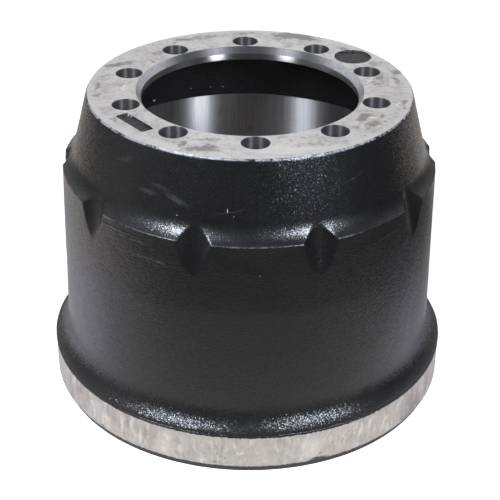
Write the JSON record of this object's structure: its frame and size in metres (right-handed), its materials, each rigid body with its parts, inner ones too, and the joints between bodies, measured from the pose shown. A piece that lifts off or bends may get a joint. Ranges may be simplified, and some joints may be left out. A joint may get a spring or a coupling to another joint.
{
  "type": "brake drum",
  "caption": "Cast iron brake drum for a heavy trailer axle: flanged bell with a pilot bore and a ring of stud holes, notched shoulder, straight barrel and turned band at the open rim.",
  "frame": {"origin": "centre of the open rim's face, where the drum's axis meets it", "axes": "+Z along the axis of rotation, from the open rim towards the mounting flange; a shoulder notch lies on +X and a stud hole on -Y"},
  "size_m": [0.3678, 0.3678, 0.28],
  "materials": {
    "black_painted_casting": "semi-gloss black paint over the grain of a sand casting",
    "machined_iron": "bare grey iron as turned, bored and drilled, with light smudges"
  },
  "bodies": {
    "root": {"brake_drum": "black_painted_casting"}
  },
  "joints": []
}
